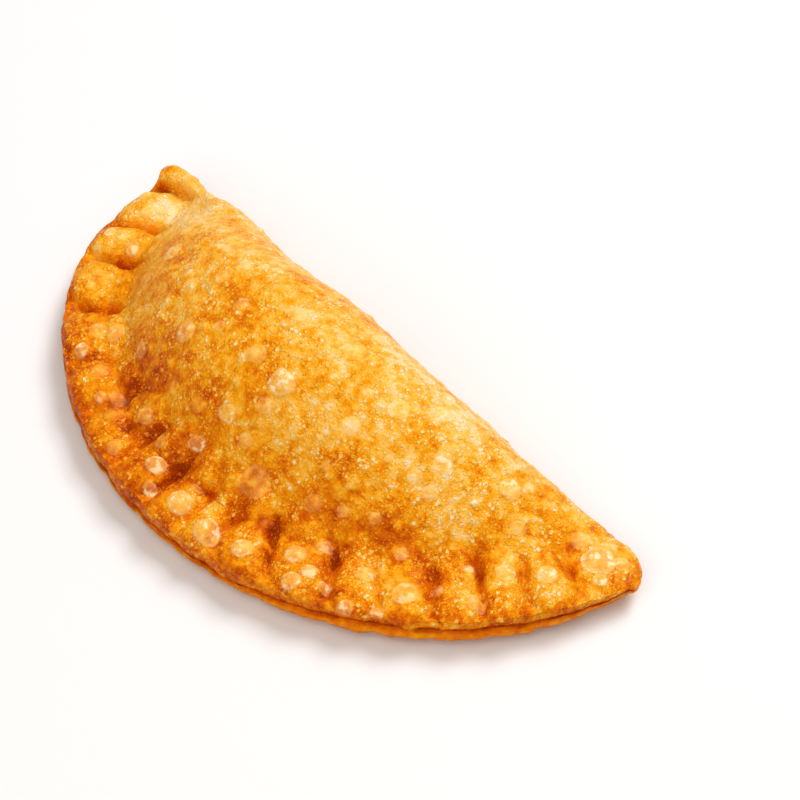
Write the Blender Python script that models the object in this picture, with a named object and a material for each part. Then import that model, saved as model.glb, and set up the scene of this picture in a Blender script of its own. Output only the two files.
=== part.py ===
# A fried chicken turnover: a round of dough folded in half over its filling and crimped shut.
# It lies flat, with its straight fold along X and its crimped rim bulging towards -Y, in metres.
# The origin is under the middle of the footprint, on the surface that it rests on.
import bmesh
import bpy
import numpy as np

# Plan: the rim is half an ellipse, closed by the fold
HALF_LENGTH = 0.0698           # from the middle of the fold to either tip
REACH = 0.0605                 # from the fold out to the rim
FOLD_OFFSET = -0.00045         # the fold's place beside the ellipse's long axis
FOLD_SLANT = -0.022            # the fold's slope in plan
LEFT_SWELL = 0.0015            # how far the fold stands out beside the left tip
LEFT_SWELL_SPAN = (-0.015, -0.050)   # x over which that swelling grows
RIGHT_SWELL = 0.0005           # the same on the right
RIGHT_SWELL_PLACE = 0.046
RIGHT_SWELL_WIDTH = 0.018
LEFT_TIP_RADIUS = 0.0075       # length over which the left tip is rounded
RIGHT_TIP_RADIUS = 0.0065
TIP_PULL = 0.88                # how far the rounding pulls the fold in, as a share of the radius
TIP_FULLNESS = 1.2             # least width of a tip, as a share of its radius
FULL_WIDTH = 0.025             # width of a section from which on its layers are at full thickness

# Section: two layers of dough, pinched at the rim and parted by the filling
SHEET = 0.0022                 # thickness of one layer of dough
THINNEST_SHEET = 0.35          # share of that thickness left at the very tips
SEAM_HEIGHT = 0.0043           # height at which the two layers meet
LOWER_LIP_LEFT = 0.0004        # how far the lower layer stands out past the upper one
LOWER_LIP_RIGHT = 0.0015
SEAM_DROP_LEFT = 0.0012        # how far the open seam lies under the middle of the rim
SEAM_DROP_RIGHT = 0.0004
LIP_CHANGE = (0.055, 0.110)    # length along the rim over which the lip changes
LIP_UNDERNEATH = 0.2           # share of the lip by which the underside stops short of the rim
SEAM_DEPTH = 0.0006            # depth of the open seam between the layers
NOSE_LENGTH = 0.0040           # length over which the fold is rounded
ROLL_HEIGHT = 0.0034           # swelling along the fold beside the left tip
ROLL_WIDTH = 0.0040
ROLL_PLACE = 0.0030            # distance of the swelling from the fold
ROLL_SPAN = (-0.030, -0.052)   # x over which the swelling grows
LIFT_SPAN = (0.009, 0.019)     # distance in from the rim over which the underside comes down
BELLY_HEIGHT = 0.0294          # height that the filling would reach without the fold
BELLY_SHIFT = 0.0040           # how far the filling lies towards the left tip
BELLY_POWER = 0.75             # below 1, a full belly with steep sides
BELLY_FOOT = 0.25              # how softly the belly starts at the pinched band
FOLD_SOFTNESS = 0.0095         # length over which the belly rises from the fold
BAND_AT_FRONT = 0.0095         # width of the pinched band where the rim is farthest from the fold
BAND_AT_TIPS = 0.0110

# Crimps: grooves placed by the length along the rim from the right tip, their depths in
# millimetres, and how full the pillows before, between and after them are
GROOVE_PLACES = (
    0.0165, 0.0260, 0.0350, 0.0455, 0.0560, 0.0650, 0.0785, 0.0900, 0.0985,
    0.1080, 0.1195, 0.1330, 0.1460, 0.1605, 0.1757, 0.1872, 0.1990,
)
GROOVE_DEPTHS = (0.8, 0.8, 1.4, 1.0, 0.5, 0.9, 1.3, 0.7, 0.6, 0.8, 0.8, 0.6, 0.6, 1.0, 1.0, 0.9, 1.2)
PILLOW_FULLNESS = (
    0.20, 0.70, 0.75, 0.80, 0.80, 0.75, 0.85, 1.00, 1.05,
    1.05, 1.05, 0.80, 0.85, 0.95, 1.05, 1.10, 1.10, 1.00,
)
PILLOW_HEIGHT = 0.0021
PILLOW_CENTRE = 0.0082         # distance in from the rim of a pillow's middle
PILLOW_REACH = 0.0080          # half of a pillow's length
LEFT_PILLOWS = (0.110, 0.150)  # length along the rim over which the pillows get shorter
LEFT_CENTRE_CHANGE = 0.0017
LEFT_REACH_CHANGE = 0.0019
GROOVE_WIDTH = 0.0019
GROOVE_START = (0.0012, 0.0040)    # distances in from the rim where a groove starts and ends
GROOVE_END = (0.0115, 0.0150)
# Grooves lean: place along the rim, then sideways shift for each metre in from the rim
LEAN_PLACES = (0.015, 0.045, 0.065, 0.079, 0.095, 0.175, 0.187, 0.199)
LEANS = (0.22, 0.15, -0.12, -0.35, 0.0, 0.0, -0.35, -0.30)
LEAN_PIVOT = 0.006             # distance in from the rim where a leaning groove keeps its place
GROOVE_NOTCH = 0.00035         # how far a groove pulls the rim's edge in
NOTCH_WIDTH = 0.0014
NOTCH_REACH = 0.006
LAST_NOTCH = 0.0034            # the notch that sets off the left tip, and its two half widths
LAST_NOTCH_PLACE = 0.1988
LAST_NOTCH_BEFORE = 0.0040
LAST_NOTCH_AFTER = 0.0045
LEFT_PULL = 0.0014             # how far the rim falls short of the ellipse beside that notch
LEFT_PULL_PLACE = 0.191
LEFT_PULL_WIDTH = 0.011
PULL_REACH = 0.010
CRIMP_WANDER = 0.0008          # how far the grooves stray from straight, and over what distance
WANDER_SIZE = 0.006
END_SPACE = 0.0080             # distance from a tip to the groove that would come next
FOLD_CALM = 0.85               # share of the crimps' relief that is lost beside the fold
FOLD_CALM_WIDTH = 0.004

# Blisters that stand out, in millimetres: x and y from the middle of the fold, width, height
BLISTERS = (
    (-20.9, -33.8, 4.4, 0.44), (-40.9, -20.8, 4.2, 0.42), (-54.4, -20.2, 3.8, 0.60),
    (-4.8, -30.6, 4.2, 0.55), (3.1, -31.4, 5.4, 0.65), (-17.7, -46.3, 4.0, 0.48),
    (-38.5, -37.2, 4.0, 0.48), (-23.6, -50.5, 4.0, 0.85), (-8.3, -52.9, 4.2, 0.50),
    (9.3, -44.0, 6.2, 0.50), (-2.6, -40.0, 3.8, 0.38), (1.3, -55.4, 4.8, 0.95),
    (9.6, -56.0, 5.2, 0.90), (16.9, -54.0, 4.0, 0.80), (33.3, -20.0, 4.2, 0.35),
    (43.0, -12.6, 4.6, 0.38), (58.2, -18.3, 4.0, 0.48), (52.9, -23.5, 3.8, 0.38),
    (61.7, -9.0, 6.4, 0.50), (44.1, -39.6, 4.8, 0.48), (28.1, -52.3, 3.6, 0.54),
    (24.5, -48.0, 4.2, 0.42), (8.2, -18.2, 4.6, 0.45), (21.9, -20.0, 4.6, 0.25),
)
SMALLER_COUNT = 26             # smaller blisters, scattered by a seeded draw
SMALLER_WIDTHS = (3.6, 4.6)
SMALLER_RISE = 0.13            # height as a share of width
BLISTER_GAP = 6.4              # least distance between a smaller blister and any other
LUMP_SIZE = 0.017              # distance between the lumps of filling that show
LUMP_HEIGHT = 0.0007
LUMP_SPAN = (0.012, 0.020)     # distance in from the rim over which the lumps appear
UPWARD_SPAN = (-0.2, 0.5)      # steepness over which relief fades out
SEED = 11
LATTICE = 32                   # corners of the noise lattice each way
LATTICE_SHIFT = 200.3          # keeps the places on the lattice above zero
PILLOW_SIDES = 2.4             # powers of a pillow's outline along and across the rim
PILLOW_ENDS = 2.6
DOME_ROUNDNESS = 0.6           # power of the height of pillows and blisters

# Mesh: rings run from tip to tip, and each has points over the top, the rim and the underside,
# a multiple of four in all
RINGS = 124
TOP_POINTS = 36
EDGE_POINTS = 4
UNDER_POINTS = 8
END_CROWDING = 0.25            # how far the points of a ring crowd to the fold and the rim

# The rim's edge in five steps: the layers' stand-out and height, in shares of lip and layer
EDGE_STEPS = (0.0, 0.25, 0.5, 0.75, 1.0)
UPPER_OUT = (0.0, 0.0003, 0.0, 0.0, 0.0)
LOWER_OUT = (0.0, 0.0, 0.0, 1.0, 0.8)
SEAM_IN = (0.0, 0.0, 1.0, 0.0, 0.0)
LAYERS_UP = (1.0, 0.5, 0.0, -0.35, -0.95)
DROP_SHARE = (0.0, 0.7, 1.0, 0.6, 0.0)

CRUST_COLOUR = (0.83, 0.42, 0.08, 1.0)
CRUST_ROUGHNESS = 0.42


def smooth_step(low, high, value):
    """Rises smoothly from 0 at low to 1 at high, or falls where high is below low."""
    share = np.clip((value - low) / (high - low), 0.0, 1.0)
    return share * share * (3 - 2 * share)


def bump(distance, width):
    """A bell-shaped bump of height 1."""
    return np.exp(-((distance / width) ** 2))


def rim_table():
    """Angles round the rim's ellipse, and the length along the rim at each."""
    angle = np.linspace(0, np.pi, 2001)
    steps = np.hypot(np.diff(HALF_LENGTH * np.cos(angle)), np.diff(REACH * np.sin(angle)))
    return angle, np.concatenate([[0.0], np.cumsum(steps)])


RIM_ANGLES, RIM_LENGTHS = rim_table()


def rim_radius(angle):
    return np.hypot(HALF_LENGTH * np.cos(angle), REACH * np.sin(angle))


def rim_place(x, y):
    """Angle round the rim, length along it from the right tip, and distance in from it."""
    across = x / HALF_LENGTH
    out = np.maximum(-y, 0.0) / REACH
    angle = np.arctan2(out, across + 1e-9)
    inward = (1 - np.hypot(across, out)) * rim_radius(angle)
    return angle, np.interp(angle, RIM_ANGLES, RIM_LENGTHS), inward


def section_ends(x):
    """Where the section at x starts, on the fold, and where it ends, on the rim."""
    radius = np.where(x > 0, RIGHT_TIP_RADIUS, LEFT_TIP_RADIUS)
    past = np.clip((np.abs(x) - HALF_LENGTH + radius) / radius, 0.0, 1.0)
    narrow = np.sqrt(1 - past**2)
    swell = LEFT_SWELL * smooth_step(*LEFT_SWELL_SPAN, x)
    swell += RIGHT_SWELL * bump(x - RIGHT_SWELL_PLACE, RIGHT_SWELL_WIDTH)
    fold_y = FOLD_OFFSET + FOLD_SLANT * x + swell - TIP_PULL * radius * (1 - narrow)
    rim_y = -REACH * np.sqrt(1 - np.minimum(np.abs(x) / HALF_LENGTH, 1.0) ** 2)
    return fold_y, np.minimum(rim_y, fold_y - TIP_FULLNESS * radius * narrow)


def layer_thickness(thin):
    return SHEET * (THINNEST_SHEET + (1 - THINNEST_SHEET) * thin)


def belly_height(x, y, from_fold):
    """Height of the filling: a dome with a soft foot inside the pinched band, times its rise
    from the fold."""
    angle = rim_place(x, y)[0]
    band = BAND_AT_FRONT + (BAND_AT_TIPS - BAND_AT_FRONT) * np.cos(angle) ** 2
    crease = 1 - band / rim_radius(angle)
    across = x / HALF_LENGTH
    shifted = across + BELLY_SHIFT / HALF_LENGTH * (1 - across**2)
    inside = np.clip(1 - (shifted**2 + (y / REACH) ** 2) / crease**2, 0.0, 1.0)
    foot = 1 - np.exp(-inside / BELLY_FOOT)
    rise = 1 - np.exp(-np.maximum(from_fold, 0.0) / FOLD_SOFTNESS)
    return BELLY_HEIGHT * inside**BELLY_POWER * foot * rise


def thin_and_nose(x, y):
    """How full the section at x is, the rounding of its fold at y, and the distance from the fold."""
    fold_y, rim_y = section_ends(x)
    thin = np.minimum(1.0, (fold_y - rim_y) / FULL_WIDTH)
    share = np.clip((fold_y - y) / (NOSE_LENGTH * thin + 1e-9), 0.0, 1.0)
    return thin, np.sqrt(1 - (1 - share) ** 2), fold_y - y


def top_height(x, y):
    """Height of the upper face before any relief."""
    thin, nose, from_fold = thin_and_nose(x, y)
    roll = ROLL_HEIGHT * smooth_step(*ROLL_SPAN, x) * bump(from_fold - ROLL_PLACE, ROLL_WIDTH)
    return SEAM_HEIGHT + (layer_thickness(thin) + roll) * nose + belly_height(x, y, from_fold)


def under_height(x, y):
    """Height of the lower face: flat on the table under the belly, lifted towards the rim."""
    thin, nose, from_fold = thin_and_nose(x, y)
    lift = 1 - smooth_step(*LIFT_SPAN, rim_place(x, y)[2])
    return SEAM_HEIGHT - (SEAM_HEIGHT - (SEAM_HEIGHT - layer_thickness(thin)) * lift) * nose


def section_points(theta, index):
    """Points of the plain form. Theta runs from the right tip to the left one, and index counts
    the points of a ring from the fold over the top to the rim, and back underneath."""
    x = HALF_LENGTH * np.cos(theta)
    fold_y, rim_y = section_ends(x)
    thin = np.minimum(1.0, (fold_y - rim_y) / FULL_WIDTH)
    left_share = smooth_step(*LIP_CHANGE, rim_place(x, rim_y)[1])
    lip = LOWER_LIP_RIGHT + (LOWER_LIP_LEFT - LOWER_LIP_RIGHT) * left_share
    drop = SEAM_DROP_RIGHT + (SEAM_DROP_LEFT - SEAM_DROP_RIGHT) * left_share
    ring = TOP_POINTS + EDGE_POINTS + UNDER_POINTS
    upper = index <= TOP_POINTS + EDGE_POINTS // 2
    going_out = np.clip(index / TOP_POINTS, 0.0, 1.0)
    coming_back = np.clip((ring - index) / UNDER_POINTS, 0.0, 1.0)
    step = np.where(upper, going_out, coming_back)
    step = step - END_CROWDING / (2 * np.pi) * np.sin(2 * np.pi * step)
    inset = np.where(upper, lip, LIP_UNDERNEATH * lip) * thin
    y = fold_y - (fold_y - rim_y - inset) * step
    z = np.where(upper, top_height(x, y), under_height(x, y))
    # The rim's edge rounds the upper layer, dips into the seam and rounds the lower layer
    edge = np.clip((index - TOP_POINTS) / EDGE_POINTS, 0.0, 1.0)
    stand_out = np.interp(edge, EDGE_STEPS, UPPER_OUT) + lip * np.interp(edge, EDGE_STEPS, LOWER_OUT)
    stand_out -= SEAM_DEPTH * np.interp(edge, EDGE_STEPS, SEAM_IN)
    height = layer_thickness(thin) * np.interp(edge, EDGE_STEPS, LAYERS_UP)
    height -= drop * thin * np.interp(edge, EDGE_STEPS, DROP_SHARE)
    on_edge = (index > TOP_POINTS) & (index < TOP_POINTS + EDGE_POINTS)
    y = np.where(on_edge, rim_y + (lip - stand_out) * thin, y)
    z = np.where(on_edge, SEAM_HEIGHT + height, z)
    return np.stack([x, y, z], axis=1)


def lattice_noise(points, size, seed):
    """Smooth noise from -1 to 1: random values on a cubic lattice, blended between its corners."""
    table = np.random.default_rng(seed).uniform(-1, 1, (LATTICE, LATTICE, LATTICE))
    scaled = points / size + LATTICE_SHIFT
    corner = np.floor(scaled).astype(int)
    blend = smooth_step(0.0, 1.0, scaled - corner)
    total = np.zeros(len(points))
    for step in np.ndindex(2, 2, 2):
        weight = np.prod(np.where(step, blend, 1 - blend), axis=1)
        place = (corner + step) % LATTICE
        total += weight * table[place[:, 0], place[:, 1], place[:, 2]]
    return total


def crimp_relief(length, inward):
    """Height of the pillows, round in both directions, less the depth of the grooves."""
    places = np.concatenate([[-END_SPACE / 2], GROOVE_PLACES, [RIM_LENGTHS[-1] + END_SPACE]])
    leaned = length + np.interp(length, LEAN_PLACES, LEANS) * (inward - LEAN_PIVOT)
    phase = np.interp(leaned, places, np.arange(len(places)))
    pillow = np.clip(np.floor(phase).astype(int), 0, len(PILLOW_FULLNESS) - 1)
    left_share = smooth_step(*LEFT_PILLOWS, length)
    centre = PILLOW_CENTRE - LEFT_CENTRE_CHANGE * left_share
    reach = PILLOW_REACH - LEFT_REACH_CHANGE * left_share
    across = np.abs(2 * (phase - pillow) - 1)
    along = np.abs(inward - centre) / reach
    swell = np.clip(1 - across**PILLOW_SIDES - along**PILLOW_ENDS, 0.0, 1.0) ** DOME_ROUNDNESS
    swell *= PILLOW_HEIGHT * np.take(PILLOW_FULLNESS, pillow)
    nearest = np.clip(np.round(phase).astype(int), 1, len(GROOVE_PLACES))
    span = smooth_step(*GROOVE_START, inward) * (1 - smooth_step(*GROOVE_END, inward))
    depth = np.take(GROOVE_DEPTHS, nearest - 1) / 1000
    return swell - depth * bump(leaned - places[nearest], GROOVE_WIDTH) * span


def blister_places():
    """The blisters that stand out, then smaller ones scattered clear of them and of the edges.
    All in millimetres."""
    rng = np.random.default_rng(SEED)
    places = list(BLISTERS)
    while len(places) < len(BLISTERS) + SMALLER_COUNT:
        x = 1000 * rng.uniform(-HALF_LENGTH, HALF_LENGTH)
        y = 1000 * rng.uniform(-REACH, 0.0)
        width = rng.uniform(*SMALLER_WIDTHS)
        from_fold = section_ends(np.array(x / 1000))[0] - y / 1000
        clear = min(rim_place(x / 1000, y / 1000)[2], from_fold) > width / 1000
        if clear and all(np.hypot(x - other[0], y - other[1]) > BLISTER_GAP for other in places):
            places.append((x, y, width, SMALLER_RISE * width))
    return np.array(places)


def blister_relief(points):
    """Low domes round the blisters' places on the upper face."""
    relief = np.zeros(len(points))
    for x, y, width, height in blister_places() / 1000:
        centre = np.array([x, y, top_height(np.array(x), np.array(y))])
        away = np.linalg.norm(points - centre, axis=1) / (width / 2)
        relief = np.maximum(relief, height * np.clip(1 - away**2, 0.0, 1.0) ** DOME_ROUNDNESS)
    return relief


def rim_notches(length, inward):
    """How far the grooves and the last notch pull the rim's edge in."""
    from_last = length - LAST_NOTCH_PLACE
    last_width = np.where(from_last < 0, LAST_NOTCH_BEFORE, LAST_NOTCH_AFTER)
    notch = LAST_NOTCH * bump(from_last, last_width)
    for place in GROOVE_PLACES[:-1]:
        notch += GROOVE_NOTCH * bump(length - place, NOTCH_WIDTH)
    notch *= np.clip(1 - inward / NOTCH_REACH, 0.0, 1.0) ** 2
    pull = LEFT_PULL * bump(length - LEFT_PULL_PLACE, LEFT_PULL_WIDTH)
    return notch + pull * np.clip(1 - inward / PULL_REACH, 0.0, 1.0)


def add_relief(points, normals):
    """Crimps, lumps of filling and blisters, raised along the surface's normals."""
    length, inward = rim_place(points[:, 0], points[:, 1])[1:]
    wandered = length + CRIMP_WANDER * lattice_noise(points * [1, 1, 0], WANDER_SIZE, SEED)
    from_fold = section_ends(points[:, 0])[0] - points[:, 1]
    relief = crimp_relief(wandered, inward) * (1 - FOLD_CALM * bump(from_fold, FOLD_CALM_WIDTH))
    belly = smooth_step(*LUMP_SPAN, inward)
    relief += LUMP_HEIGHT * lattice_noise(points, LUMP_SIZE, SEED + 1) * belly
    relief += blister_relief(points)
    raised = points + normals * (relief * smooth_step(*UPWARD_SPAN, normals[:, 2]))[:, None]
    heading = points[:, :2] / np.linalg.norm(points[:, :2], axis=1, keepdims=True)
    raised[:, :2] -= heading * rim_notches(length, inward)[:, None]
    raised[:, 2] = np.maximum(raised[:, 2], 0.0)
    return raised


def get_points(mesh):
    points = np.empty(len(mesh.vertices) * 3, np.float32)
    mesh.vertices.foreach_get("co", points)
    return points.reshape(-1, 3).astype(float)


def set_points(mesh, points):
    mesh.vertices.foreach_set("co", points.astype(np.float32).ravel())
    mesh.update()


def vertex_normals(mesh):
    normals = np.empty(len(mesh.vertices) * 3, np.float32)
    mesh.vertex_normals.foreach_get("vector", normals)
    return normals.reshape(-1, 3).astype(float)


def face_outwards(mesh):
    """Turns every face outwards."""
    form = bmesh.new()
    form.from_mesh(mesh)
    bmesh.ops.recalc_face_normals(form, faces=form.faces)
    form.to_mesh(mesh)
    form.free()
    mesh.update()


def crust_mesh():
    """A sphere with its poles at the two tips, its rings pulled into the turnover's sections."""
    ring = TOP_POINTS + EDGE_POINTS + UNDER_POINTS
    form = bmesh.new()
    bmesh.ops.create_uvsphere(form, u_segments=ring, v_segments=RINGS, radius=1.0)
    mesh = bpy.data.meshes.new("empanada")
    form.to_mesh(mesh)
    form.free()
    ball = get_points(mesh)
    theta = np.arccos(np.clip(ball[:, 2], -1.0, 1.0))
    turn = np.arctan2(ball[:, 1], ball[:, 0]) / (2 * np.pi)
    index = np.round(turn * ring).astype(int) % ring
    set_points(mesh, section_points(theta, index))
    face_outwards(mesh)
    points = add_relief(get_points(mesh), vertex_normals(mesh))
    middle = (points.min(axis=0) + points.max(axis=0)) / 2
    set_points(mesh, points - [middle[0], middle[1], 0.0])
    return mesh


def crust_material():
    material = bpy.data.materials.new("fried_crust")
    material.use_nodes = True
    shader = material.node_tree.nodes["Principled BSDF"]
    shader.inputs["Base Color"].default_value = CRUST_COLOUR
    shader.inputs["Roughness"].default_value = CRUST_ROUGHNESS
    shader.inputs["Metallic"].default_value = 0.0
    return material


def build():
    for old in list(bpy.data.objects):
        bpy.data.objects.remove(old)
    collection = bpy.data.collections.new("chicken_empanada")
    bpy.context.scene.collection.children.link(collection)
    mesh = crust_mesh()
    mesh.shade_smooth()
    mesh.materials.append(crust_material())
    collection.objects.link(bpy.data.objects.new("empanada", mesh))


build()
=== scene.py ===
import math
import bmesh
import bpy
import numpy as np
from mathutils import Matrix, Vector


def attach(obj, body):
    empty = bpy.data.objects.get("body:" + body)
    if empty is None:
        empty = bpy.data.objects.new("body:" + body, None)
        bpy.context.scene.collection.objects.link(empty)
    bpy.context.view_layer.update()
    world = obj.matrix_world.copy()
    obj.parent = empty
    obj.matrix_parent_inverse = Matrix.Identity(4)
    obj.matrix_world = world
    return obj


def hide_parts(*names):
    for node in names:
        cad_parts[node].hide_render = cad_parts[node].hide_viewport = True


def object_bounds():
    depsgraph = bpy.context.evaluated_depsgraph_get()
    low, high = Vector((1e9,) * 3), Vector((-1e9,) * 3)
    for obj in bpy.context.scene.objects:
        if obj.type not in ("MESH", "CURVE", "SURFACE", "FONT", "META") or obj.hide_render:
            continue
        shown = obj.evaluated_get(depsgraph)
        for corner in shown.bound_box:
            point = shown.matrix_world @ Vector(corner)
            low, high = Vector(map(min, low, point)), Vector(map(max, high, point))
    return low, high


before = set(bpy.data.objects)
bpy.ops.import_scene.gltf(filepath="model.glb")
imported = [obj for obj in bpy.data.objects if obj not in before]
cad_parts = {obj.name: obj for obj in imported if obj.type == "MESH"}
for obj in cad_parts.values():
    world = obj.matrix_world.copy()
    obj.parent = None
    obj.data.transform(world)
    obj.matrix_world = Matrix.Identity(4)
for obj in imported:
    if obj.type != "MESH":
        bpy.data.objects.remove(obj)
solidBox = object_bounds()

# Plain form, in metres from the middle of the fold: x along the fold, the rim towards -y
form = {
    "halfLength": 0.0698,
    "reach": 0.0605,            # from the fold out to the rim
    "foldOffset": -0.00045,     # the fold's place beside the ellipse's long axis
    "foldSlant": -0.022,        # the fold's slope in plan
    "leftSwell": 0.0015,        # how far the fold bows out on the left, and the x over which it does
    "leftSwellSpan": (-0.015, -0.050),
    "rightSwell": 0.0005,       # the same on the right, round a place
    "rightSwellPlace": 0.046,
    "rightSwellWidth": 0.018,
    "leftTipRadius": 0.0075,    # length over which a tip is rounded
    "rightTipRadius": 0.0065,
    "tipPull": 0.88,            # how far the rounding pulls the fold in, as a share of the radius
    "tipFullness": 1.2,         # least width of a tip, as a share of its radius
    "fullWidth": 0.025,         # width of a section from which on its layers are at full thickness
    "sheet": 0.0022,            # one layer of dough
    "thinnestSheet": 0.35,      # its share left at the very tips
    "seamHeight": 0.0043,
    "lowerLip": (0.0004, 0.0015),   # how far the lower layer stands out, on the left and on the right
    "seamDrop": (0.0014, 0.0004),   # how far the open seam lies under the middle of the rim
    "lipChange": (0.047, 0.090),    # length along the rim over which the lip and the seam change
    "lipUnderneath": 0.2,       # share of the lip by which the underside stops short of the rim
    "ragged": ((0.00030, 0.0020, 51), (0.00030, 0.0060, 52)),   # upper layer's edge: depth, size, seed
    "noseLength": 0.0040,       # length over which the fold is rounded
    "rollHeight": 0.0034,       # swelling along the fold beside the left tip
    "rollWidth": 0.0040,
    "rollPlace": 0.003,         # its distance from the fold
    "rollSpan": (-0.030, -0.052),   # the x over which it grows
    "liftSpan": (0.009, 0.019),     # distance in from the rim over which the underside comes down
    "bellyHeight": 0.0294,      # height that the filling would reach without the fold
    "bellyShift": 0.0040,       # how far the filling lies towards the left tip
    "bellyPower": 0.75,         # below 1, a full belly with steep sides
    "bellyFoot": 0.25,          # how softly the belly starts at the pinched band
    "foldSoftness": 0.0095,     # length over which the belly rises from the fold
    "bandAtFront": 0.0095,      # width of the pinched band
    "bandAtTips": 0.0110,
    "rings": 500,               # from tip to tip
    "topPoints": 150,           # round each ring: upper face, rim edge, underside
    "edgePoints": 18,
    "underPoints": 30,
    "crowding": 0.25,           # how far the points of a ring crowd to the fold and the rim
    "boxShare": 0.9995,         # the most of the solid's box that the crust may fill
}

# The rim's edge by the share of the turn round it, from the upper layer over the seam to the lower one
rimEdge = {
    "turns": (0, 0.12, 0.25, 0.40, 0.50, 0.60, 0.75, 0.88, 1),
    "upperOut": (0, 0.0003, 0.00035, 0.0001, -0.0006, 0, 0, 0, 0),          # metres, with the seam's dip
    "lowerOut": (0, 0, 0, 0, 0, 0.55, 1.0, 1.05, 0.8),                      # shares of the lip
    "upwards": (1.0, 0.80, 0.45, 0.10, 0.02, -0.05, -0.35, -0.7, -0.95),    # shares of a layer
    "dropTurns": (0, 0.15, 0.35, 0.60, 0.85, 1),
    "dropShares": (0, 0.35, 1, 1, 0.25, 0),
    "raggedEnd": 0.5,
    "sideSpan": (0.40, 0.52),   # where the smoother finish of the side starts
    "sideFade": 0.2,            # share of the underside over which it ends
    "crackPlace": 0.46,
    "crackWidth": 0.10,
}

# Crimps: grooves by length along the rim from the right tip, and the pillows between them
crimps = {
    "grooves": (
        0.0165, 0.0260, 0.0350, 0.0455, 0.0560, 0.0650, 0.0785, 0.0900, 0.0985,
        0.1080, 0.1195, 0.1330, 0.1460, 0.1605, 0.1757, 0.1872, 0.1990,
    ),
    "depth": (
        0.0008, 0.0008, 0.0014, 0.0010, 0.0005, 0.0009, 0.0013, 0.0007, 0.0006,
        0.0008, 0.0008, 0.0006, 0.0006, 0.0010, 0.0010, 0.0009, 0.0012,
    ),
    "fullness": (
        0.20, 0.70, 0.75, 0.80, 0.80, 0.75, 0.85, 1.00, 1.05,
        1.05, 1.05, 0.80, 0.85, 0.95, 1.05, 1.10, 1.10, 1.00,
    ),
    "height": 0.0021,
    "centre": 0.0082,           # distance in from the rim of a pillow's middle, and half its length
    "reach": 0.0080,
    "leftSpan": (0.110, 0.150),     # length along the rim over which the pillows get shorter
    "leftCentreChange": 0.0017,
    "leftReachChange": 0.0019,
    "powers": (2.4, 2.6, 0.6),  # of a pillow's outline across and along, and of its height
    "grooveWidth": 0.0013,
    "grooveShares": (0.6, 0.4),     # of the full width and of half of it
    "grooveStart": (0.0012, 0.0040),    # distances in from the rim where a groove starts and ends
    "grooveEnd": (0.0115, 0.0150),
    "deepest": 0.0014,
    # place along the rim, and a groove's sideways shift there for each metre in from the rim
    "lean": (
        (0.015, 0.22), (0.045, 0.15), (0.065, -0.12), (0.079, -0.35),
        (0.095, 0.0), (0.175, 0.0), (0.187, -0.35), (0.199, -0.30),
    ),
    "leanPivot": 0.006,         # distance in from the rim where a leaning groove keeps its place
    "wander": 0.0010,           # how far the grooves stray from straight, and over what distance
    "wanderSize": 0.006,
    "endSpace": 0.0080,         # distance from a tip to the groove that would come next
    "foldCalm": 0.85,           # share of the relief that is lost beside the fold
    "foldCalmWidth": 0.004,
    "notch": 0.00035,           # how far a groove pulls the rim's edge in
    "notchWidth": 0.0014,
    "notchReach": 0.006,
    "lastNotch": 0.0034,        # the notch that sets off the left tip
    "lastNotchPlace": 0.1988,
    "lastNotchWidths": (0.0040, 0.0045),
    "pulls": ((0.0014, 0.191, 0.011), (0.0002, 0.020, 0.012)),  # shortfall of the rim, place, width
    "pullReach": 0.010,
}

# Hollows pressed at the inner ends of pillows, in millimetres: x, y, width, depth
hollowSpread = 1.2              # reach of a hollow's slope, as a share of half its width
hollows = (
    (-56.5, -13.8, 2.2, 0.9), (-53.0, -23.3, 2.4, 1.2), (-46.2, -33.3, 2.6, 1.2),
    (-48.5, -36.8, 1.8, 0.8), (-30.5, -43.2, 2.2, 1.0), (-27.0, -45.2, 2.2, 1.2),
    (-23.5, -47.5, 2.0, 1.0), (-19.5, -50.5, 2.4, 1.0), (-5.2, -50.8, 2.6, 0.9),
    (3.0, -50.3, 1.8, 0.8), (11.0, -50.5, 2.0, 0.8), (18.0, -47.8, 2.2, 0.9),
    (30.0, -43.2, 2.4, 0.9), (50.5, -26.5, 1.8, 0.8), (57.5, -11.2, 3.0, 0.7),
)

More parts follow.
